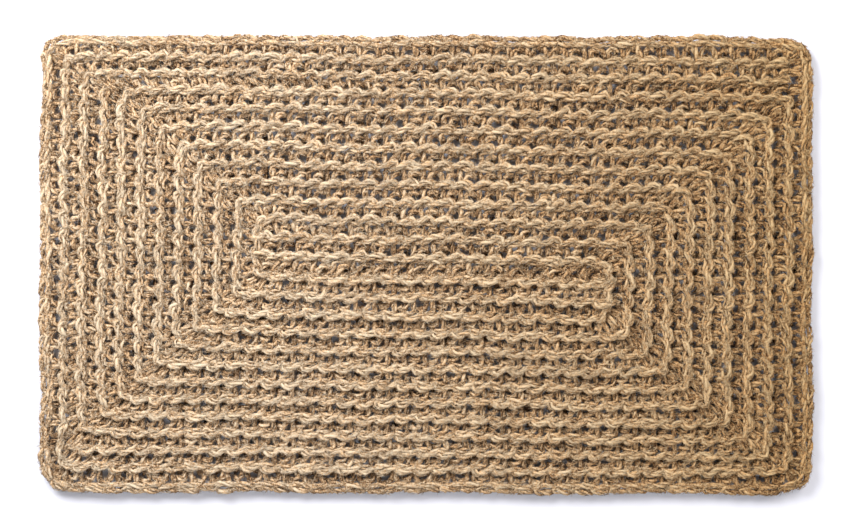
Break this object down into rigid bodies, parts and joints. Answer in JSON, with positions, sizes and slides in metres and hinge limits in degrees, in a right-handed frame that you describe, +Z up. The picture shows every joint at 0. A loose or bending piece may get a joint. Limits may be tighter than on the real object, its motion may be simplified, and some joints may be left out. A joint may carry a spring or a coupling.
{
  "type": "door mat",
  "caption": "Rectangular crocheted jute door mat, worked outwards from a centre line in ribbed rows that meet at mitred corners, with a braided edging.",
  "frame": {"origin": "centre of the mat's underside, on the floor", "axes": "+X along the mat's long side to the right, +Y along its short side, +Z up out of the tread side"},
  "size_m": [0.76, 0.45, 0.013],
  "materials": {
    "jute_row": "natural undyed jute yarn, hairy and matte",
    "jute_chain": "natural undyed jute yarn, hairy and matte",
    "jute_edging": "natural undyed jute yarn, hairy and matte"
  },
  "bodies": {
    "root": {"bottom_row_01": "jute_row", "bottom_row_02": "jute_row", "bottom_row_03": "jute_row", "bottom_row_04": "jute_row", "bottom_row_05": "jute_row", "bottom_row_06": "jute_row", "bottom_row_07": "jute_row", "bottom_row_08": "jute_row", "bottom_row_09": "jute_row", "bottom_row_10": "jute_row", "centre_row_1": "jute_row", "centre_row_2": "jute_row", "centre_row_3": "jute_row", "edging_bottom": "jute_edging", "edging_left": "jute_edging", "edging_right": "jute_edging", "edging_top": "jute_edging", "foundation_chain": "jute_chain", "left_row_01": "jute_row", "left_row_02": "jute_row", "left_row_03": "jute_row", "left_row_04": "jute_row", "left_row_05": "jute_row", "left_row_06": "jute_row", "left_row_07": "jute_row", "left_row_08": "jute_row", "left_row_09": "jute_row", "left_row_10": "jute_row", "left_row_11": "jute_row", "right_row_01": "jute_row", "right_row_02": "jute_row", "right_row_03": "jute_row", "right_row_04": "jute_row", "right_row_05": "jute_row", "right_row_06": "jute_row", "right_row_07": "jute_row", "right_row_08": "jute_row", "right_row_09": "jute_row", "right_row_10": "jute_row", "top_row_01": "jute_row", "top_row_02": "jute_row", "top_row_03": "jute_row", "top_row_04": "jute_row", "top_row_05": "jute_row", "top_row_06": "jute_row", "top_row_07": "jute_row", "top_row_08": "jute_row", "top_row_09": "jute_row", "top_row_10": "jute_row"}
  },
  "joints": []
}
